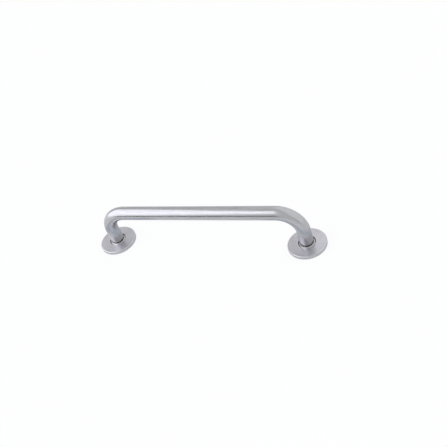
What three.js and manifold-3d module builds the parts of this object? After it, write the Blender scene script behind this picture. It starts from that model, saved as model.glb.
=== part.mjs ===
// Grab rail with concealed fixings.
//
// A stainless tube, bent at both ends, stands on two round flange plates. Each
// leg passes into its plate and is held by a fillet weld. Each plate is fixed
// down with three countersunk screws, and a pressed cover pushes down over the
// plate to hide them. Pulled off, a cover stays on the rail: it slides up the
// leg until its hole meets the bend.
//
// Millimetres, +Z up. The mounting plane is z = 0, the bar runs along X, and
// the origin lies on the mounting plane midway between the legs.

import * as THREE from "three";
import { mergeVertices } from "three/addons/utils/BufferGeometryUtils.js";
import Module from "manifold-3d";

const wasm = await Module();
wasm.setup();

// ---------------------------------------------------------------- dimensions
const CENTRES = 380; // leg to leg
const AXIS_HEIGHT = 77.5; // bar's axis above the mounting plane
const BEND_R = 41.5; // centreline radius of both bends

const TUBE_R = 12.5; // 25 mm tube
const TUBE_WALL = 1.5;
const TUBE_FOOT = 0.4; // the tube's ends stop this far short of the mounting plane

const PLATE_R = 33;
const PLATE_T = 3;
const PLATE_BORE_R = 12.8;
const PLATE_CHAMFER = 0.5;
const NIB_TIP_R = 33.75; // three nibs on the plate's edge grip the cover's skirt
const NIB_R = 1.4;

const SCREW_CIRCLE_R = 24.5;
const HOLE_R = 2.75;
const SINK_R = 4.95; // countersink at the plate's top face, 90 degrees
const SCREW_R = 2.4; // 4.8 mm self-tapping screw
const SCREW_HEAD_R = 4.55;
const SCREW_HEAD_TOP = PLATE_T + 1.4; // raised head
const SCREW_TIP = PLATE_T - 25; // 25 mm long, its shank going into the deck

const WELD_IN_R = 12.8;
const WELD_OUT_R = 15.2; // clear of the cover's hole, which passes over it
const WELD_BASE = PLATE_T + 0.3;
const WELD_TOP = 7.0;

const COVER_R = 35;
const COVER_HOLE_R = 15.6;
const COVER_T = 0.9;
const COVER_FOOT = 0.3; // the skirt's lower edge
const COVER_SHOULDER_Z = 5.0; // where the skirt turns in
const COVER_SHOULDER_R = 1.4; // outside radius of that turn
const COVER_SLOPE = 4; // the top rises towards the leg, degrees

const AROUND_TUBE = 28;
const AROUND_PLATE = 48;
const AROUND_COVER = 64;
const AROUND_HOLE = 16;
const BEND_STEPS = 10;

// ------------------------------------------------------------------- helpers
const RAD = Math.PI / 180;

// A closed geometry as a manifold-3d solid.
function solid(geometry) {
  const g = geometry.clone();
  for (const name of Object.keys(g.attributes))
    if (name !== "position") g.deleteAttribute(name);
  const m = mergeVertices(g, 1e-4);
  return new wasm.Manifold(
    new wasm.Mesh({
      numProp: 3,
      vertProperties: new Float32Array(m.attributes.position.array),
      triVerts: new Uint32Array(m.index.array),
    }),
  );
}

// A manifold-3d solid as a geometry.
function geometryOf(made) {
  const m = made.getMesh();
  const position = new Float32Array(m.numVert * 3);
  for (let i = 0; i < m.numVert; i++)
    for (let k = 0; k < 3; k++)
      position[3 * i + k] = m.vertProperties[i * m.numProp + k];
  const g = new THREE.BufferGeometry();
  g.setAttribute("position", new THREE.BufferAttribute(position, 3));
  g.setIndex(new THREE.BufferAttribute(new Uint32Array(m.triVerts), 1));
  g.computeVertexNormals();
  return g;
}

// A profile of [radius, height] turned about +Z.
function turned(profile, around, first = 0) {
  const points = profile.map(([r, z]) => new THREE.Vector2(r, z));
  const g = new THREE.LatheGeometry(points, around, first);
  g.rotateX(Math.PI / 2);
  return g;
}

// Points on an arc in the [radius, height] plane, angles in degrees.
function arc(r0, z0, radius, from, to, steps) {
  const out = [];
  for (let i = 0; i <= steps; i++) {
    const a = (from + ((to - from) * i) / steps) * RAD;
    out.push([r0 + radius * Math.cos(a), z0 + radius * Math.sin(a)]);
  }
  return out;
}

const steel = (colour, roughness) =>
  new THREE.MeshStandardMaterial({ color: colour, roughness, metalness: 1 });

const SATIN_TUBE = steel(0xb9bac0, 0.24);
const SATIN_COVER = steel(0xb2b2b9, 0.34);
const MILL_PLATE = steel(0xa5a7ab, 0.42);
const WELD_METAL = steel(0x9a9a9c, 0.4);
const SCREW_STEEL = steel(0xc0c1c4, 0.28);

const rail = new THREE.Group();

function add(parent, name, geometry, material) {
  const mesh = new THREE.Mesh(geometry, material);
  mesh.name = name;
  parent.add(mesh);
  return mesh;
}

// ---------------------------------------------------------------------- tube
// The tube's centreline: foot, bend, bar, bend, foot. Its stations are set by
// hand, close together in the bends and far apart on the straights.
class RailCentreline extends THREE.Curve {
  constructor() {
    super();
    const x = CENTRES / 2;
    const zb = AXIS_HEIGHT - BEND_R;
    this.stations = [];
    const station = (px, pz, tx, tz) =>
      this.stations.push({
        p: new THREE.Vector3(px, 0, pz),
        t: new THREE.Vector3(tx, 0, tz),
      });
    station(-x, TUBE_FOOT, 0, 1);
    for (let i = 0; i <= BEND_STEPS; i++) {
      const a = (i / BEND_STEPS) * 90 * RAD;
      station(
        -x + BEND_R - BEND_R * Math.cos(a),
        zb + BEND_R * Math.sin(a),
        Math.sin(a),
        Math.cos(a),
      );
    }
    for (let i = 0; i <= BEND_STEPS; i++) {
      const a = (1 - i / BEND_STEPS) * 90 * RAD;
      station(
        x - BEND_R + BEND_R * Math.cos(a),
        zb + BEND_R * Math.sin(a),
        Math.sin(a),
        -Math.cos(a),
      );
    }
    station(x, TUBE_FOOT, 0, -1);
  }
  at(u) {
    return this.stations[Math.round(u * (this.stations.length - 1))];
  }
  getPoint(u, target = new THREE.Vector3()) {
    return target.copy(this.at(u).p);
  }
  getPointAt(u, target) {
    return this.getPoint(u, target);
  }
  getTangentAt(u, target = new THREE.Vector3()) {
    return target.copy(this.at(u).t);
  }
  getSpacedPoints(divisions) {
    return this.getPoints(divisions);
  }
}

const centreline = new RailCentreline();
const ring = new THREE.Shape();
ring.absarc(0, 0, TUBE_R, 0, 2 * Math.PI, false);
const bore = new THREE.Path();
bore.absarc(0, 0, TUBE_R - TUBE_WALL, 0, 2 * Math.PI, true);
ring.holes.push(bore);
add(
  rail,
  "rail_tube",
  geometryOf(
    solid(
      new THREE.ExtrudeGeometry(ring, {
        steps: centreline.stations.length - 1,
        curveSegments: AROUND_TUBE / 2,
        extrudePath: centreline,
        bevelEnabled: false,
      }),
    ),
  ),
  SATIN_TUBE,
);

// --------------------------------------------------------------------- plate
// outward is the angle of the screw that points away from the bar, so that no
// screw lies under the bar where a driver can't reach it.
function plateSolid(outward) {
  const c = PLATE_CHAMFER;
  let plate = solid(
    turned(
      [
        [PLATE_BORE_R, 0],
        [PLATE_R - c, 0],
        [PLATE_R, c],
        [PLATE_R, PLATE_T - c],
        [PLATE_R - c, PLATE_T],
        [PLATE_BORE_R, PLATE_T],
        [PLATE_BORE_R, 0],
      ],
      AROUND_PLATE,
    ),
  );
  const sink = SINK_R - HOLE_R;
  const cutter = turned(
    [
      [0, -1],
      [HOLE_R, -1],
      [HOLE_R, PLATE_T - sink],
      [SINK_R, PLATE_T],
      [SINK_R, PLATE_T + 1],
      [0, PLATE_T + 1],
    ],
    AROUND_HOLE,
  );
  const nib = new THREE.SphereGeometry(NIB_R, 10, 6);
  for (let i = 0; i < 3; i++) {
    const a = (outward + 120 * i) * RAD;
    plate = plate.subtract(
      solid(
        cutter
          .clone()
          .translate(
            SCREW_CIRCLE_R * Math.cos(a),
            SCREW_CIRCLE_R * Math.sin(a),
            0,
          ),
      ),
    );
    const b = a + 60 * RAD;
    const at = NIB_TIP_R - NIB_R;
    plate = plate.add(
      solid(
        nib
          .clone()
          .rotateX(Math.PI / 2)
          .rotateZ(b)
          .translate(at * Math.cos(b), at * Math.sin(b), PLATE_T / 2),
      ),
    );
  }
  return plate;
}

// --------------------------------------------------------------------- screw
function screwGeometry() {
  const cone = PLATE_T + 0.05;
  const body = solid(
    turned(
      [
        [0, SCREW_TIP],
        [0.25, SCREW_TIP],
        [SCREW_R - 0.35, SCREW_TIP + 5],
        [SCREW_R, SCREW_TIP + 6.5],
        [SCREW_R, cone - (SCREW_HEAD_R - SCREW_R)],
        [SCREW_HEAD_R, cone],
        [SCREW_HEAD_R, cone + 0.2],
        [3.7, 3.95],
        [2.2, SCREW_HEAD_TOP - 0.12],
        [0, SCREW_HEAD_TOP],
      ],
      AROUND_HOLE,
    ),
  );
  // The cross recess: two tapered slots at right angles.
  const slot = () => {
    const g = new THREE.BoxGeometry(5.0, 1.15, 2.4);
    const p = g.attributes.position;
    for (let i = 0; i < p.count; i++)
      if (p.getZ(i) < 0) p.setXY(i, p.getX(i) * 0.45, p.getY(i) * 0.7);
    return g.translate(0, 0, SCREW_HEAD_TOP - 0.7);
  };
  return geometryOf(
    body.subtract(solid(slot())).subtract(solid(slot().rotateZ(Math.PI / 2))),
  );
}

// ---------------------------------------------------------------------- weld
// A convex bead: an upright toe, then a quarter turn up to the leg.
const WELD_TOE = 0.5;
const WELD_CREST = 0.12; // width of the rim against the leg
const weldProfile = [
  [WELD_IN_R, WELD_BASE],
  [WELD_OUT_R, WELD_BASE],
];
for (let i = 0; i <= 5; i++) {
  const a = i * 18 * RAD;
  weldProfile.push([
    WELD_IN_R +
      WELD_CREST +
      (WELD_OUT_R - WELD_IN_R - WELD_CREST) *
        Math.max(0, Math.cos(a)) ** 0.8,
    WELD_BASE + WELD_TOE + (WELD_TOP - WELD_BASE - WELD_TOE) * Math.sin(a),
  ]);
}
weldProfile.push([WELD_IN_R, WELD_TOP], [WELD_IN_R, WELD_BASE]);

// --------------------------------------------------------------------- cover
// A pressed shell: a skirt, a shoulder, and a top that rises towards a plain
// pierced hole around the leg.
const rise = COVER_SLOPE * RAD;
const shoulder = [COVER_R - COVER_SHOULDER_R, COVER_SHOULDER_Z];
const topAt = (r) =>
  shoulder[1] +
  COVER_SHOULDER_R / Math.cos(rise) +
  (shoulder[0] - r) * Math.tan(rise);
const underside = COVER_T / Math.cos(rise);
const coverProfile = [
  [COVER_R, COVER_FOOT],
  ...arc(...shoulder, COVER_SHOULDER_R, 0, 90 - COVER_SLOPE, 4),
  [COVER_HOLE_R, topAt(COVER_HOLE_R)],
  [COVER_HOLE_R, topAt(COVER_HOLE_R) - underside],
  ...arc(...shoulder, COVER_SHOULDER_R - COVER_T, 90 - COVER_SLOPE, 0, 3),
  [COVER_R - COVER_T, COVER_FOOT],
  [COVER_R, COVER_FOOT],
];

// --------------------------------------------------------------------- sides
for (const side of ["left", "right"]) {
  const foot = new THREE.Group();
  foot.position.x = (side === "left" ? -1 : 1) * (CENTRES / 2);
  rail.add(foot);
  const outward = side === "left" ? 180 : 0;

  add(
    foot,
    `${side}_flange_plate`,
    geometryOf(plateSolid(outward)),
    MILL_PLATE,
  );
  add(
    foot,
    `${side}_weld_bead`,
    geometryOf(solid(turned(weldProfile, AROUND_TUBE))),
    WELD_METAL,
  );
  add(
    foot,
    `${side}_cover`,
    geometryOf(solid(turned(coverProfile, AROUND_COVER))),
    SATIN_COVER,
  );
  const screw = screwGeometry();
  for (let i = 0; i < 3; i++) {
    const a = (outward + 120 * i) * RAD;
    const mesh = add(foot, `${side}_screw_${i + 1}`, screw, SCREW_STEEL);
    mesh.position.set(
      SCREW_CIRCLE_R * Math.cos(a),
      SCREW_CIRCLE_R * Math.sin(a),
      0,
    );
    mesh.rotation.z = a + 25 * i * RAD;
  }
}

export default rail;
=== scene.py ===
# Grab rail with concealed fixings: the looks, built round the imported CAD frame.
# Metres, +Z up, origin on the mounting plane midway between the legs.
import math

import bmesh
import bpy
from mathutils import Matrix, Vector


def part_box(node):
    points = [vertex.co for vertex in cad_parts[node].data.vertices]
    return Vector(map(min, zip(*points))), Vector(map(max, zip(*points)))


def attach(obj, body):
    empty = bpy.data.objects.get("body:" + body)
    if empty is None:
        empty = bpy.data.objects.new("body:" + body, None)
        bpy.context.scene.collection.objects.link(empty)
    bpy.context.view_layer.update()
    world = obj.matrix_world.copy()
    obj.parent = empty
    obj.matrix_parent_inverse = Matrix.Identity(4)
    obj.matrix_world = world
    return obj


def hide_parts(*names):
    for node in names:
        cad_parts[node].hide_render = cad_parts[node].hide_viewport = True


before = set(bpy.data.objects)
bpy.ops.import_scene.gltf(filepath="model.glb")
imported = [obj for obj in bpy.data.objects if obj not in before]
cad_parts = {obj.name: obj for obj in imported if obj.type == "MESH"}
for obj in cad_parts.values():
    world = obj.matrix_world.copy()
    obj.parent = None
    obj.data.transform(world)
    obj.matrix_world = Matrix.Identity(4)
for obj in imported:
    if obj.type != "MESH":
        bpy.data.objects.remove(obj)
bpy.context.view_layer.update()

MM = 0.001
TAU = 2 * math.pi

# ------------------------------------------------------- sizes from the frame
LEFT_BOX, RIGHT_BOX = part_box("left_cover"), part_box("right_cover")
LEFT_X = (LEFT_BOX[0].x + LEFT_BOX[1].x) / 2
RIGHT_X = (RIGHT_BOX[0].x + RIGHT_BOX[1].x) / 2
COVER_R = (RIGHT_BOX[1].x - RIGHT_BOX[0].x) / 2
TUBE_LO, TUBE_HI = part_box("rail_tube")
TUBE_R = (TUBE_HI.y - TUBE_LO.y) / 2
AXIS_Z = TUBE_HI.z - TUBE_R
FOOT_Z = TUBE_LO.z
BEND_R = 41.5 * MM
WALL = 1.5 * MM
PLATE_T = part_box("right_flange_plate")[1].z
PLATE_R = 33 * MM
SCREW_LO, SCREW_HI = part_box("right_screw_1")
SCREW_CIRCLE = (SCREW_LO.x + SCREW_HI.x) / 2 - RIGHT_X


# ------------------------------------------------------------------ mesh code
def made(name, verts, faces, body, slot, *nodes, uvs=None, smooth=38):
    """A mesh piece that rides on a body and stands for CAD nodes."""
    mesh = bpy.data.meshes.new(name)
    mesh.from_pydata([tuple(v) for v in verts], [], faces)
    if uvs is not None:
        layer = mesh.uv_layers.new(name="grain")
        for loop_uv, corner in zip(layer.data, (c for f in uvs for c in f)):
            loop_uv.uv = corner
    mesh.validate()
    bm = bmesh.new()
    bm.from_mesh(mesh)
    bmesh.ops.recalc_face_normals(bm, faces=bm.faces)
    bm.to_mesh(mesh)
    bm.free()
    mesh.shade_smooth()
    if smooth:
        mesh.set_sharp_from_angle(angle=math.radians(smooth))
    obj = bpy.data.objects.new(name, mesh)
    bpy.context.scene.collection.objects.link(obj)
    if body:
        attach(obj, body)
        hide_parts(*nodes)
    return obj


def grid_faces(rings, around, closed=True):
    """Quads between rings of points, and their (ring, step) pairs for mapping."""
    faces, steps = [], []
    last = rings if closed else rings - 1
    for i in range(last):
        for j in range(around):
            a, b = i, (i + 1) % rings
            k, m = j, (j + 1) % around
            faces.append(
                (a * around + k, a * around + m, b * around + m, b * around + k)
            )
            steps.append(((i, j), (i, j + 1), (i + 1, j + 1), (i + 1, j)))
    return faces, steps


def lathe(profile, around, ripple=None):
    """A closed profile of (radius, height) turned about +Z, with (turn, length) mapping."""
    n = len(profile)
    length = [0.0]
    for i in range(n):
        a, b = profile[i], profile[(i + 1) % n]
        length.append(length[-1] + math.hypot(b[0] - a[0], b[1] - a[1]))
    verts = []
    for i, (r, z) in enumerate(profile):
        for j in range(around):
            t = TAU * j / around
            dr, dz = ripple(i, t) if ripple else (0.0, 0.0)
            verts.append(((r + dr) * math.cos(t), (r + dr) * math.sin(t), z + dz))
    faces, steps = grid_faces(n, around)
    uvs = [[(j / around, length[i]) for i, j in quad] for quad in steps]
    return verts, faces, uvs


def arc(r0, z0, radius, start, end, steps):
    """Points on an arc in the (radius, height) plane, angles in degrees."""
    return [
        (
            r0 + radius * math.cos(math.radians(start + (end - start) * i / steps)),
            z0 + radius * math.sin(math.radians(start + (end - start) * i / steps)),
        )
        for i in range(steps + 1)
    ]


def moved(verts, x=0.0, y=0.0, z=0.0, turn=0.0):
    c, s = math.cos(turn), math.sin(turn)
    return [(c * a - s * b + x, s * a + c * b + y, h + z) for a, b, h in verts]


def cut(obj, cutters, operation="DIFFERENCE"):
    """Cuts each cutter out of obj, or joins it to obj, and applies the result."""
    for tool in cutters:
        mod = obj.modifiers.new("cut", "BOOLEAN")
        mod.operation, mod.solver, mod.object = operation, "EXACT", tool
        dg = bpy.context.evaluated_depsgraph_get()
        new = bpy.data.meshes.new_from_object(obj.evaluated_get(dg), depsgraph=dg)
        obj.modifiers.clear()
        old, obj.data = obj.data, new
        bpy.data.meshes.remove(old)
        data = tool.data
        bpy.data.objects.remove(tool)
        bpy.data.meshes.remove(data)


def plain(name, verts, faces):
    mesh = bpy.data.meshes.new(name)
    mesh.from_pydata([tuple(v) for v in verts], [], faces)
    bm = bmesh.new()
    bm.from_mesh(mesh)
    bmesh.ops.recalc_face_normals(bm, faces=bm.faces)
    bm.to_mesh(mesh)
    bm.free()
    obj = bpy.data.objects.new(name, mesh)
    bpy.context.scene.collection.objects.link(obj)
    return obj


def capped(profile, around):
    """An open profile turned about +Z, closed by a cap at each end."""
    verts = []
    for r, z in profile:
        for j in range(around):
            t = TAU * j / around
            verts.append((r * math.cos(t), r * math.sin(t), z))
    faces, _ = grid_faces(len(profile), around, closed=False)
    faces.append(tuple(reversed(range(around))))
    top = (len(profile) - 1) * around
    faces.append(tuple(range(top, top + around)))
    return verts, faces


def ball(radius, around, rows):
    """A closed sphere of quads, with a fan at each pole."""
    verts = [(0.0, 0.0, -radius)]
    for i in range(1, rows):
        a = -math.pi / 2 + math.pi * i / rows
        for j in range(around):
            t = TAU * j / around
            verts.append((radius * math.cos(a) * math.cos(t), radius * math.cos(a) * math.sin(t), radius * math.sin(a)))
    verts.append((0.0, 0.0, radius))
    faces = []
    for j in range(around):
        k = (j + 1) % around
        faces.append((0, 1 + k, 1 + j))
        last = 1 + (rows - 2) * around
        faces.append((last + j, last + k, len(verts) - 1))
        for i in range(rows - 2):
            p, q = 1 + i * around, 1 + (i + 1) * around
            faces.append((p + j, p + k, q + k, q + j))
    return verts, faces


# ------------------------------------------------------------------- material
class Graph:
    """A material's nodes, added one by one."""

    def __init__(self, name):
        self.mat = bpy.data.materials.new(name)
        self.mat.use_nodes = True
        self.tree = self.mat.node_tree
        self.shader = self.tree.nodes["Principled BSDF"]

    def add(self, kind, inputs=None, **settings):
        node = self.tree.nodes.new(kind)
        for key, value in settings.items():
            setattr(node, key, value)
        for key, value in (inputs or {}).items():
            if isinstance(value, bpy.types.NodeSocket):
                self.tree.links.new(value, node.inputs[key])
            else:
                node.inputs[key].default_value = value
        return node

    def math(self, operation, a, b=0.0, clamp=False):
        return self.add(
            "ShaderNodeMath", {0: a, 1: b}, operation=operation, use_clamp=clamp
        ).outputs[0]

    def between(self, value, a, b, c, d):
        return self.add(
            "ShaderNodeMapRange",
            {"Value": value, "From Min": a, "From Max": b, "To Min": c, "To Max": d},
            clamp=True,
        ).outputs[0]

    def noise(self, vector, scale, detail=3.0, rough=0.5, distortion=0.0):
        return self.add(
            "ShaderNodeTexNoise",
            {
                "Vector": vector,
                "Scale": scale,
                "Detail": detail,
                "Roughness": rough,
                "Distortion": distortion,
            },
        ).outputs["Fac"]

    def scaled(self, vector, scale):
        return self.add(
            "ShaderNodeMapping", {"Vector": vector, "Scale": scale}
        ).outputs["Vector"]

    def mix(self, factor, a, b):
        node = self.add("ShaderNodeMix", data_type="RGBA")
        for key, value in ((0, factor), (6, a), (7, b)):
            if isinstance(value, bpy.types.NodeSocket):
                self.tree.links.new(value, node.inputs[key])
            else:
                node.inputs[key].default_value = value
        return node.outputs[2]

    def into(self, key, value):
        self.tree.links.new(value, self.shader.inputs[key])


def satin(name, colour, rough, grain, grain_strength, spread, streak, streak_spread):
    """Satin stainless: a fine grain, broad polishing streaks, cloudy polish, and hairline scratches."""
    g = Graph(name)
    g.shader.inputs["Metallic"].default_value = 1.0
    uv = g.add("ShaderNodeUVMap", uv_map="grain").outputs[0]
    where = g.add("ShaderNodeTexCoord").outputs["Object"]
    lines = g.noise(g.scaled(uv, grain), 1.0, 4.0, 0.62)
    broad = g.noise(g.scaled(uv, tuple(v * 0.22 for v in grain)), 1.0, 2.0, 0.5)
    cloud = g.noise(where, 38.0, 4.0, 0.6)
    streaks = g.math("ADD", g.math("MULTIPLY", lines, 0.6), g.math("MULTIPLY", broad, 0.4))
    # hairlines: the thin ridge of a stretched noise where it crosses its middle
    hair = g.noise(g.scaled(where, (260.0, 1900.0, 1900.0)), 1.0, 0.0, 0.5, 0.6)
    hair = g.math("ABSOLUTE", g.math("SUBTRACT", hair, 0.5))
    hair = g.between(hair, 0.0, 0.006, 1.0, 0.0)
    seldom = g.between(g.noise(where, 55.0, 1.0), 0.56, 0.66, 0.0, 1.0)
    hair = g.math("MULTIPLY", hair, seldom)
    wide = g.noise(g.scaled(uv, streak), 1.0, 2.0, 0.55, 0.3)
    light = tuple(min(1.0, c * (1 + spread)) for c in colour) + (1.0,)
    dark = tuple(c * (1 - spread) for c in colour) + (1.0,)
    tone = g.between(
        g.math("ADD", g.math("MULTIPLY", streaks, 0.55), g.math("MULTIPLY", cloud, 0.45)),
        0.36, 0.64, 0.0, 1.0,
    )
    base = g.mix(tone, dark, light)
    swing = g.between(wide, 0.3, 0.7, 1.0 - streak_spread, 1.0 + streak_spread)
    base = g.add("ShaderNodeVectorMath", {0: base, 1: g.add("ShaderNodeCombineXYZ", {0: swing, 1: swing, 2: swing}).outputs[0]}, operation="MULTIPLY").outputs[0]
    g.into("Base Color", base)
    r = g.between(streaks, 0.3, 0.7, rough * 0.86, rough * 1.16)
    r = g.math("ADD", r, g.between(wide, 0.3, 0.7, -0.02, 0.02))
    r = g.math("ADD", r, g.between(cloud, 0.3, 0.7, -0.025, 0.03))
    r = g.math("ADD", r, g.math("MULTIPLY", hair, 0.1))
    g.into("Roughness", r)
    height = g.math("SUBTRACT", streaks, g.math("MULTIPLY", hair, 0.5))
    bump = g.add(
        "ShaderNodeBump",
        {"Height": height, "Strength": grain_strength, "Distance": 0.00003},
    )
    g.into("Normal", bump.outputs["Normal"])
    return g.mat


STEEL = (0.50, 0.502, 0.517)
tube_satin = satin("tube_satin", STEEL, 0.22, (2600.0, 70.0, 1.0), 0.35, 0.05, (26.0, 420.0, 1.0), 0.09)
cover_satin = satin("cover_satin", (0.59, 0.58, 0.615), 0.3, (6.0, 5200.0, 1.0), 0.6, 0.07, (9.0, 620.0, 1.0), 0.1)
# the covers are turned, so their grain runs in circles and stretches what they reflect
turned = next(n for n in cover_satin.node_tree.nodes if n.type == "BSDF_PRINCIPLED")
grain_way = cover_satin.node_tree.nodes.new("ShaderNodeTangent")
grain_way.direction_type, grain_way.axis = "RADIAL", "Z"
cover_satin.node_tree.links.new(grain_way.outputs[0], turned.inputs["Tangent"])
turned.inputs["Anisotropic"].default_value = 0.5


def mill():
    """Laser-cut plate: dull rolled surface, mottled, with a faint lay."""
    g = Graph("plate_mill")
    g.shader.inputs["Metallic"].default_value = 1.0
    where = g.add("ShaderNodeTexCoord").outputs["Object"]
    lay = g.noise(g.scaled(where, (60.0, 2400.0, 400.0)), 1.0, 3.0, 0.6)
    mottle = g.noise(where, 420.0, 5.0, 0.65)
    tone = g.between(
        g.math("ADD", g.math("MULTIPLY", lay, 0.5), g.math("MULTIPLY", mottle, 0.5)),
        0.35, 0.65, 0.0, 1.0,
    )
    g.into("Base Color", g.mix(tone, (0.36, 0.362, 0.37, 1), (0.5, 0.5, 0.505, 1)))
    g.into("Roughness", g.between(mottle, 0.3, 0.7, 0.34, 0.52))
    bump = g.add(
        "ShaderNodeBump", {"Height": tone, "Strength": 0.5, "Distance": 0.00004}
    )
    g.into("Normal", bump.outputs["Normal"])
    return g.mat


def weld():
    """Weld metal: bright ripples, with straw and blue heat tint in patches."""
    g = Graph("weld_tint")
    g.shader.inputs["Metallic"].default_value = 1.0
    where = g.add("ShaderNodeTexCoord").outputs["Object"]
    patch = g.noise(where, 160.0, 3.0, 0.55)
    fine = g.noise(where, 2600.0, 3.0, 0.6)
    straw = g.between(patch, 0.5, 0.66, 0.0, 0.5)
    blue = g.between(patch, 0.64, 0.72, 0.0, 0.5)
    base = g.mix(straw, (0.62, 0.615, 0.61, 1), (0.57, 0.51, 0.42, 1))
    base = g.mix(blue, base, (0.38, 0.4, 0.48, 1))
    g.into("Base Color", base)
    g.into("Roughness", g.between(fine, 0.3, 0.7, 0.2, 0.38))
    bump = g.add(
        "ShaderNodeBump", {"Height": fine, "Strength": 0.4, "Distance": 0.00004}
    )
    g.into("Normal", bump.outputs["Normal"])
    return g.mat


def bright():
    """Cold-headed screw: bright, with light marks and a slightly duller tone in patches."""
    g = Graph("screw_bright")
    g.shader.inputs["Metallic"].default_value = 1.0
    where = g.add("ShaderNodeTexCoord").outputs["Object"]
    fine = g.noise(where, 3200.0, 4.0, 0.65)
    patch = g.noise(where, 500.0, 2.0, 0.5)
    g.into(
        "Base Color",
        g.mix(g.between(patch, 0.35, 0.65, 0, 1), (0.53, 0.53, 0.535, 1), (0.63, 0.63, 0.635, 1)),
    )
    g.into("Roughness", g.between(fine, 0.3, 0.7, 0.18, 0.34))
    bump = g.add(
        "ShaderNodeBump", {"Height": fine, "Strength": 0.3, "Distance": 0.00003}
    )
    g.into("Normal", bump.outputs["Normal"])
    return g.mat


plate_mill, weld_tint, screw_bright = mill(), weld(), bright()

# ----------------------------------------------------------------------- tube
AROUND = 96


def centreline():
    """Stations on the tube's centreline: (point, tangent, distance along)."""
    x0, x1 = LEFT_X, RIGHT_X
    zb = AXIS_Z - BEND_R
    out = []
    for i in range(9):
        z = FOOT_Z + (zb - FOOT_Z) * i / 9
        out.append((Vector((x0, 0, z)), Vector((0, 0, 1))))
    for i in range(49):
        a = math.pi / 2 * i / 48
        out.append(
            (
                Vector((x0 + BEND_R - BEND_R * math.cos(a), 0, zb + BEND_R * math.sin(a))),
                Vector((math.sin(a), 0, math.cos(a))),
            )
        )
    xa, xb = x0 + BEND_R, x1 - BEND_R
    for i in range(1, 30):
        out.append((Vector((xa + (xb - xa) * i / 30, 0, AXIS_Z)), Vector((1, 0, 0))))
    for i in range(49):
        a = math.pi / 2 * (1 - i / 48)
        out.append(
            (
                Vector((x1 - BEND_R + BEND_R * math.cos(a), 0, zb + BEND_R * math.sin(a))),
                Vector((math.sin(a), 0, -math.cos(a))),
            )
        )
    for i in range(1, 10):
        z = zb + (FOOT_Z - zb) * i / 9
        out.append((Vector((x1, 0, z)), Vector((0, 0, -1))))
    run, line = 0.0, []
    for i, (p, t) in enumerate(out):
        if i:
            run += (p - out[i - 1][0]).length
        line.append((p, t, run))
    return line


def tube():
    line = centreline()
    edge = 0.25 * MM
    ri = TUBE_R - WALL
    rings = []

    def ring(p, t, s, radius, shift=0.0):
        side = Vector((0, 1, 0))
        rings.append((p + t * shift, t, side.cross(t), s + shift, radius))

    first, last = line[0], line[-1]
    for a in (0, 30, 60, 90):
        c = math.radians(a)
        ring(*first, TUBE_R - edge + edge * math.sin(c), edge - edge * math.cos(c))
    for p, t, s in line[1:-1]:
        ring(p, t, s, TUBE_R)
    for a in (90, 60, 30, 0):
        c = math.radians(a)
        ring(*last, TUBE_R - edge + edge * math.sin(c), -edge + edge * math.cos(c))
    for a in (0, 45, 90):
        c = math.radians(a)
        ring(*last, ri + edge - edge * math.sin(c), -edge + edge * math.cos(c))
    for p, t, s in reversed(line[1:-1]):
        ring(p, t, s, ri)
    for a in (90, 45, 0):
        c = math.radians(a)
        ring(*first, ri + edge - edge * math.sin(c), edge - edge * math.cos(c))
    verts = []
    for p, t, n, s, radius in rings:
        for j in range(AROUND):
            a = TAU * j / AROUND
            verts.append(p + n * (radius * math.cos(a)) + Vector((0, 1, 0)) * (radius * math.sin(a)))
    faces, steps = grid_faces(len(rings), AROUND)
    turn = TAU * TUBE_R / AROUND
    uvs = [
        [(rings[min(i, len(rings) - 1)][3], j * turn) for i, j in quad] for quad in steps
    ]
    obj = made("satin_tube", verts, faces, "rail", "satin_tube", "rail_tube", uvs=uvs)
    obj.data.materials.append(tube_satin)
    return obj


tube()

# ---------------------------------------------------------------------- cover
SLOPE = 4.0
HOLE_R = 15.6 * MM
SHEET = 0.9 * MM
SHOULDER = (COVER_R - 1.4 * MM, 5.0 * MM, 1.4 * MM)
FOOT = 0.3 * MM


def cover(side, x):
    """A pressed shell with a plain pierced hole, its two edges eased."""
    e = 0.22 * MM
    sn, cs = math.sin(math.radians(SLOPE)), math.cos(math.radians(SLOPE))
    a = arc(*SHOULDER, 90 - SLOPE, 90 - SLOPE, 1)[0]
    along = (a[0] - HOLE_R) / cs  # from the shoulder to the hole, along the top
    outer = lambda d: (a[0] - d * cs, a[1] + d * sn)
    inner = lambda d: (outer(d)[0] - SHEET * sn, outer(d)[1] - SHEET * cs)
    top = [outer(along * i / 14) for i in range(1, 13)]
    under = [inner((along - SHEET * sn / cs) * i / 14) for i in range(12, 0, -1)]
    # the hole's wall is upright; both its edges are eased
    lift = outer(along)[1]
    profile = [
        *arc(COVER_R - e, FOOT + e, e, -90, 0, 4),
        (COVER_R, FOOT + 1.2 * MM),
        (COVER_R, SHOULDER[1] - 1.2 * MM),
        *arc(*SHOULDER, 0, 90 - SLOPE, 12),
        *top,
        *arc(HOLE_R + e, lift - e * 1.12, e, 90 - SLOPE, 180, 5),
        *arc(HOLE_R + e, lift - SHEET / cs + e * 0.9, e, 180, 270 - SLOPE, 5),
        *under,
        *arc(SHOULDER[0], SHOULDER[1], SHOULDER[2] - SHEET, 90 - SLOPE, 0, 8),
        (COVER_R - SHEET, FOOT + 1.2 * MM),
        *arc(COVER_R - SHEET + e, FOOT + e, e, 180, 270, 4)[:-1],
        (COVER_R - SHEET + e, FOOT),
    ]
    clean = []
    for p in profile:
        if not clean or math.hypot(p[0] - clean[-1][0], p[1] - clean[-1][1]) > 1e-6:
            clean.append(p)
    verts, faces, uvs = lathe(clean, 192)
    obj = made(
        f"{side}_pressed_cover",
        moved(verts, x=x),
        faces,
        f"{side}_cover",
        "satin_cover",
        f"{side}_cover",
        uvs=uvs,
    )
    obj.data.materials.append(cover_satin)
    return obj


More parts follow.
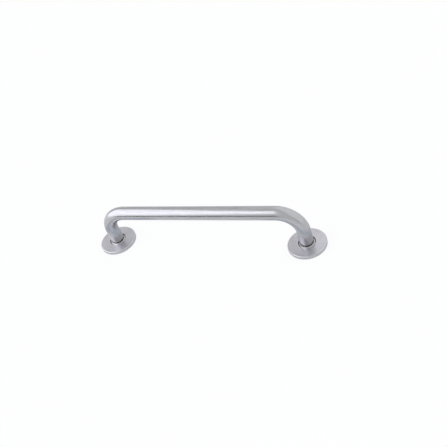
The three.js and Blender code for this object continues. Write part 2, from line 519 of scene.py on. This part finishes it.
# ---------------------------------------------------------------------- plate
def plate(side, x, outward):
    c = 0.5 * MM
    bore = 12.8 * MM
    profile = [
        *arc(bore + 0.2 * MM, 0.2 * MM, 0.2 * MM, 180, 270, 3),
        *arc(PLATE_R - c, c, c, -90, 0, 5),
        *arc(PLATE_R - c, PLATE_T - c, c, 0, 90, 5),
        *arc(bore + 0.2 * MM, PLATE_T - 0.2 * MM, 0.2 * MM, 90, 180, 3),
    ]
    verts, faces, _ = lathe(profile, 144)
    obj = made(
        f"{side}_round_plate",
        moved(verts, x=x),
        faces,
        "rail",
        "mill_plate",
        f"{side}_flange_plate",
        smooth=None,
    )
    cutters = []
    hole, sink, ease = 2.75 * MM, 4.95 * MM, 0.15 * MM
    deep = sink - hole
    for i in range(3):
        a = outward + TAU * i / 3
        cv, cf = capped(
            [
                (hole + ease, -1 * MM),
                (hole + ease, 0.0),
                (hole, ease),
                (hole, PLATE_T - deep),
                (sink - ease * 0.4, PLATE_T - ease * 0.4),
                (sink + ease * 0.6, PLATE_T + ease * 0.1),
                (sink + ease * 0.6, PLATE_T + 1 * MM),
            ],
            48,
        )
        cutters.append(
            plain(
                "cutter",
                moved(cv, x=x + SCREW_CIRCLE * math.cos(a), y=SCREW_CIRCLE * math.sin(a)),
                cf,
            )
        )
    cut(obj, cutters)
    # nibs on the edge that grip the cover's skirt
    nibs = []
    for i in range(3):
        a = outward + TAU * (i + 0.5) / 3
        at = 33.75 * MM - 1.4 * MM
        nv, nf = ball(1.4 * MM, 28, 14)
        nibs.append(
            plain("nib", moved(nv, x=x + at * math.cos(a), y=at * math.sin(a), z=PLATE_T / 2), nf)
        )
    cut(obj, nibs, "UNION")
    obj.data.shade_smooth()
    obj.data.set_sharp_from_angle(angle=math.radians(28))
    obj.data.materials.clear()
    obj.data.materials.append(plate_mill)
    return obj


# ----------------------------------------------------------------------- weld
def bead(side, x):
    """A convex bead, its ripples overlapping round the leg."""
    inner, outer = 12.55 * MM, 15.2 * MM  # close on the leg it is fused to
    low, high = PLATE_T + 0.3 * MM, 7.0 * MM
    profile = [(inner, low), (outer - 0.15 * MM, low)]
    for i in range(15):
        t = math.pi / 2 * i / 14
        profile.append(
            (
                inner + 0.12 * MM + (outer - inner - 0.12 * MM) * math.cos(t) ** 0.8,
                low + 0.5 * MM + (high - low - 0.5 * MM) * math.sin(t),
            )
        )
    profile.append((inner, high - 0.1 * MM))
    n = len(profile)
    ripples = 46

    def ripple(i, t):
        if i < 2 or i >= n - 1:
            return 0.0, 0.0
        across = (i - 2) / 14
        phase = (t * ripples / TAU + 0.35 * math.sin(math.pi * across)) % 1.0
        lift = 0.11 * MM * (phase ** 0.6 - 1.0) * math.sin(math.pi * min(1.0, across + 0.04)) ** 0.6
        return lift * 0.7, lift * 0.7

    verts, faces, uvs = lathe(profile, ripples * 8, ripple)
    obj = made(
        f"{side}_rippled_weld",
        moved(verts, x=x),
        faces,
        "rail",
        "weld_metal",
        f"{side}_weld_bead",
        uvs=uvs,
        smooth=50,
    )
    obj.data.materials.append(weld_tint)
    return obj


# ---------------------------------------------------------------------- screw
def screw(side, k, x, y, turn):
    shank, head, tip = 2.4 * MM, 4.55 * MM, SCREW_LO.z
    cone = PLATE_T + 0.05 * MM
    top = SCREW_HI.z
    pitch, core = 1.8 * MM, 1.7 * MM
    around = 36
    start = cone - (head - shank) - 0.4 * MM  # the thread runs out under the head
    rows = []
    steps = int((start - tip) / (pitch / 9))
    for i in range(steps + 1):
        rows.append(tip + (start - tip) * i / steps)
    verts = []
    for z in rows:
        for j in range(around):
            t = TAU * j / around
            phase = ((z - tip) / pitch - t / TAU) % 1.0
            ridge = max(0.0, 1.0 - abs(phase - 0.5) / 0.3)
            body, crest = core, shank
            if z < tip + 5 * MM:
                f = max(0.0, (z - tip) / (5 * MM))
                body = 0.22 * MM + (core - 0.22 * MM) * f
                crest = body + (shank - core) * min(1.0, f * 1.3)
            fade = min(1.0, (start - z) / (1.2 * MM))
            r = body + (crest - body) * ridge * max(0.0, fade)
            if z == rows[0]:
                r = 0.2 * MM
            verts.append((r * math.cos(t), r * math.sin(t), z))
    outline = [
        (core, start + 0.05 * MM),
        (core + 0.1 * MM, cone - (head - core) + 0.15 * MM),
        *[(core + (head - 0.1 * MM - core) * f, cone - (head - core) + 0.1 * MM + (head - core - 0.1 * MM) * f) for f in (0.1, 0.4, 0.7, 0.95)],
        (head - 0.02 * MM, cone + 0.02 * MM),
        (head, cone + 0.1 * MM),
        (head - 0.04 * MM, cone + 0.2 * MM),
    ]
    ease = []
    for i in range(1, 12):
        a = math.pi / 2 * i / 11
        ease.append(((head - 0.04 * MM) * math.cos(a), cone + 0.2 * MM + (top - cone - 0.2 * MM) * math.sin(a)))
    outline += ease[:-1]
    for r, z in outline:
        for j in range(around):
            t = TAU * j / around
            verts.append((r * math.cos(t), r * math.sin(t), z))
    rings = len(rows) + len(outline)
    faces, _ = grid_faces(rings, around, closed=False)
    faces.append(tuple(reversed(range(around))))
    last = (rings - 1) * around
    verts.append((0, 0, top))
    for j in range(around):
        faces.append((last + j, last + (j + 1) % around, len(verts) - 1))
    obj = made(
        f"{side}_fixing_screw_{k}",
        verts,
        faces,
        "rail",
        "screw_steel",
        f"{side}_screw_{k}",
        smooth=None,
    )
    # cross recess: two tapered slots and a conical middle
    tools = []
    for a in (0, math.pi / 2):
        w, l, d = 0.55 * MM, 2.5 * MM, 2.0 * MM
        v = []
        for z, s in ((top + 0.6 * MM, 1.0), (top - 0.3 * MM, 1.0), (top - d, 0.42)):
            k2 = 0.75 + 0.25 * s
            v += [(-l * s, -w * k2, z), (l * s, -w * k2, z), (l * s, w * k2, z), (-l * s, w * k2, z)]
        f = [(0, 1, 2, 3), (8, 9, 10, 11)]
        for q in (0, 4):
            f += [(q + i, q + (i + 1) % 4, q + 4 + (i + 1) % 4, q + 4 + i) for i in range(4)]
        tools.append(plain("cutter", moved(v, turn=a), f))
    cv, cf = capped([(0.25 * MM, top - 2.3 * MM), (0.95 * MM, top - 1.4 * MM), (1.15 * MM, top + 0.5 * MM)], 24)
    tools.append(plain("cutter", cv, cf))
    cut(obj, tools)
    obj.data.transform(Matrix.Translation((x, y, 0)) @ Matrix.Rotation(turn, 4, "Z"))
    obj.data.shade_smooth()
    obj.data.set_sharp_from_angle(angle=math.radians(32))
    obj.data.materials.clear()
    obj.data.materials.append(screw_bright)
    return obj


for side, x, outward in (("left", LEFT_X, math.pi), ("right", RIGHT_X, 0.0)):
    cover(side, x)
    plate(side, x, outward)
    bead(side, x)
    for i in range(3):
        a = outward + TAU * i / 3
        screw(
            side,
            i + 1,
            x + SCREW_CIRCLE * math.cos(a),
            SCREW_CIRCLE * math.sin(a),
            a + math.radians(25) * i,
        )

# ---------------------------------------------------------------------- stage
def sheet(name, z, half, albedo, glow, seen_by):
    """A plain sheet of floor, seen only by the named kinds of ray."""
    mesh = bpy.data.meshes.new(name)
    mesh.from_pydata([(-half, -half, z), (half, -half, z), (half, half, z), (-half, half, z)], [], [(0, 1, 2, 3)])
    obj = bpy.data.objects.new(name, mesh)
    bpy.context.scene.collection.objects.link(obj)
    g = Graph(name)
    g.shader.inputs["Base Color"].default_value = (albedo, albedo, albedo, 1)
    g.shader.inputs["Roughness"].default_value = 0.9
    g.shader.inputs["Specular IOR Level"].default_value = 0.0
    g.shader.inputs["Emission Color"].default_value = (1, 1, 1, 1)
    g.shader.inputs["Emission Strength"].default_value = glow
    mesh.materials.append(g.mat)
    obj.visible_camera = "camera" in seen_by
    obj.visible_glossy = "glossy" in seen_by
    obj.visible_diffuse = "diffuse" in seen_by
    obj.visible_shadow = "shadow" in seen_by
    return obj


# the floor as the camera sees it, almost white, and as the metal sees it, duller
sheet("floor", 0.0, 6.0, 0.55, 0.605, ("camera", "shadow"))
sheet("floor_in_metal", 0.0002, 6.0, 0.84, 0.02, ("glossy", "diffuse"))

world = bpy.data.worlds.new("studio")
bpy.context.scene.world = world
world.use_nodes = True
world.node_tree.nodes["Background"].inputs[0].default_value = (0.985, 0.99, 1.0, 1)
world.node_tree.nodes["Background"].inputs[1].default_value = 0.75


def softbox(name, at, to, width, height, radiance, colour=(1, 1, 1)):
    """An area light whose surface has the given radiance, facing a point."""
    data = bpy.data.lights.new(name, "AREA")
    data.shape, data.size, data.size_y = "RECTANGLE", width, height
    data.energy = radiance * width * height * math.pi
    data.color = colour
    obj = bpy.data.objects.new(name, data)
    bpy.context.scene.collection.objects.link(obj)
    obj.location = at
    obj.rotation_mode = "QUATERNION"
    obj.rotation_quaternion = (Vector(to) - Vector(at)).to_track_quat("-Z", "Y")
    obj.visible_camera = False
    return obj


def card(name, corners, shade, tint=(1.0, 1.0, 1.03)):
    """A flag that only polished surfaces see: a dark card beside the set, or a patch of painted shadow on the floor."""
    mesh = bpy.data.meshes.new(name)
    mesh.from_pydata(corners, [], [tuple(range(len(corners)))])
    obj = bpy.data.objects.new(name, mesh)
    bpy.context.scene.collection.objects.link(obj)
    g = Graph(name)
    for node in list(g.tree.nodes):
        if node.type != "OUTPUT_MATERIAL":
            g.tree.nodes.remove(node)
    out = next(n for n in g.tree.nodes if n.type == "OUTPUT_MATERIAL")
    glow = g.add("ShaderNodeEmission", {"Color": tuple(shade * v for v in tint) + (1,), "Strength": 1.0})
    g.tree.links.new(glow.outputs[0], out.inputs["Surface"])
    mesh.materials.append(g.mat)
    obj.visible_camera = obj.visible_diffuse = obj.visible_shadow = False
    obj.visible_transmission = obj.visible_volume_scatter = False
    return obj


def aimed(azimuth, height, distance):
    """A point seen from the middle of the bar: azimuth from the front, positive to the right."""
    az, el = math.radians(azimuth), math.radians(height)
    flat = distance * math.cos(el)
    return (flat * math.sin(az), -flat * math.cos(az), AXIS_Z + distance * math.sin(el))


MIDDLE = (0, 0, AXIS_Z)
# one large softbox to the left and in front of the rail, with a dimmer surround,
# and a faint wide fill to the right; both add to the even light of the studio
softbox("main_box", aimed(-63, 35, 2.2), MIDDLE, 3.3, 2.7, 0.45, (0.985, 1.0, 1.08))
softbox("main_box_core", aimed(-67, 35, 2.19), MIDDLE, 3.0, 2.7, 0.42, (0.985, 1.0, 1.08))
softbox("main_surround", aimed(-65, 31, 2.25), MIDDLE, 3.9, 3.4, 0.24, (0.985, 1.0, 1.08))
softbox("right_fill", aimed(128, 34, 2.4), MIDDLE, 7.4, 4.6, 0.24, (0.99, 0.995, 1.0))
# a dark card on the floor in front: the dark line low on the bar
card("front_flag", [(-1.15, -1.2, 0.001), (-0.1, -1.2, 0.001), (0.09, -0.28, 0.001), (-0.36, -0.28, 0.001)], 0.0)

# painted contact shadow on the floor round each foot, cooler and a little darker, seen only in the metal
for side, x in (("left", LEFT_X), ("right", RIGHT_X)):
    for i in range(24):
        corners = []
        for radius, step in ((0.043, i), (0.083, i), (0.083, i + 1), (0.043, i + 1)):
            t = TAU * step / 24
            corners.append((x - 0.008 + radius * math.cos(t), -0.012 + radius * math.sin(t), 0.0006))
        card(f"{side}_shade_{i}", corners, 0.68, (0.93, 1.0, 1.11))

# --------------------------------------------------------------------- camera
a, e, r = math.radians(31.143), math.radians(41.105), math.radians(-21.357)
back = Vector((math.sin(a) * math.cos(e), -math.cos(a) * math.cos(e), math.sin(e)))
right = Vector((math.cos(a), math.sin(a), 0))
up = back.cross(right)
right2 = right * math.cos(r) + up * math.sin(r)
up2 = up * math.cos(r) - right * math.sin(r)
data = bpy.data.cameras.new("camera")
data.sensor_width, data.lens = 36.0, 717.281 / 447 * 36
camera = bpy.data.objects.new("camera", data)
bpy.context.scene.collection.objects.link(camera)
at = Vector((0.045927, 0, 0.051748)) + back * 1.272276
camera.matrix_world = Matrix(
    (
        (right2.x, up2.x, back.x, at.x),
        (right2.y, up2.y, back.y, at.y),
        (right2.z, up2.z, back.z, at.z),
        (0, 0, 0, 1),
    )
)
bpy.context.scene.camera = camera
bpy.context.scene.view_settings.view_transform = "Standard"
bpy.context.scene.view_settings.look = "None"
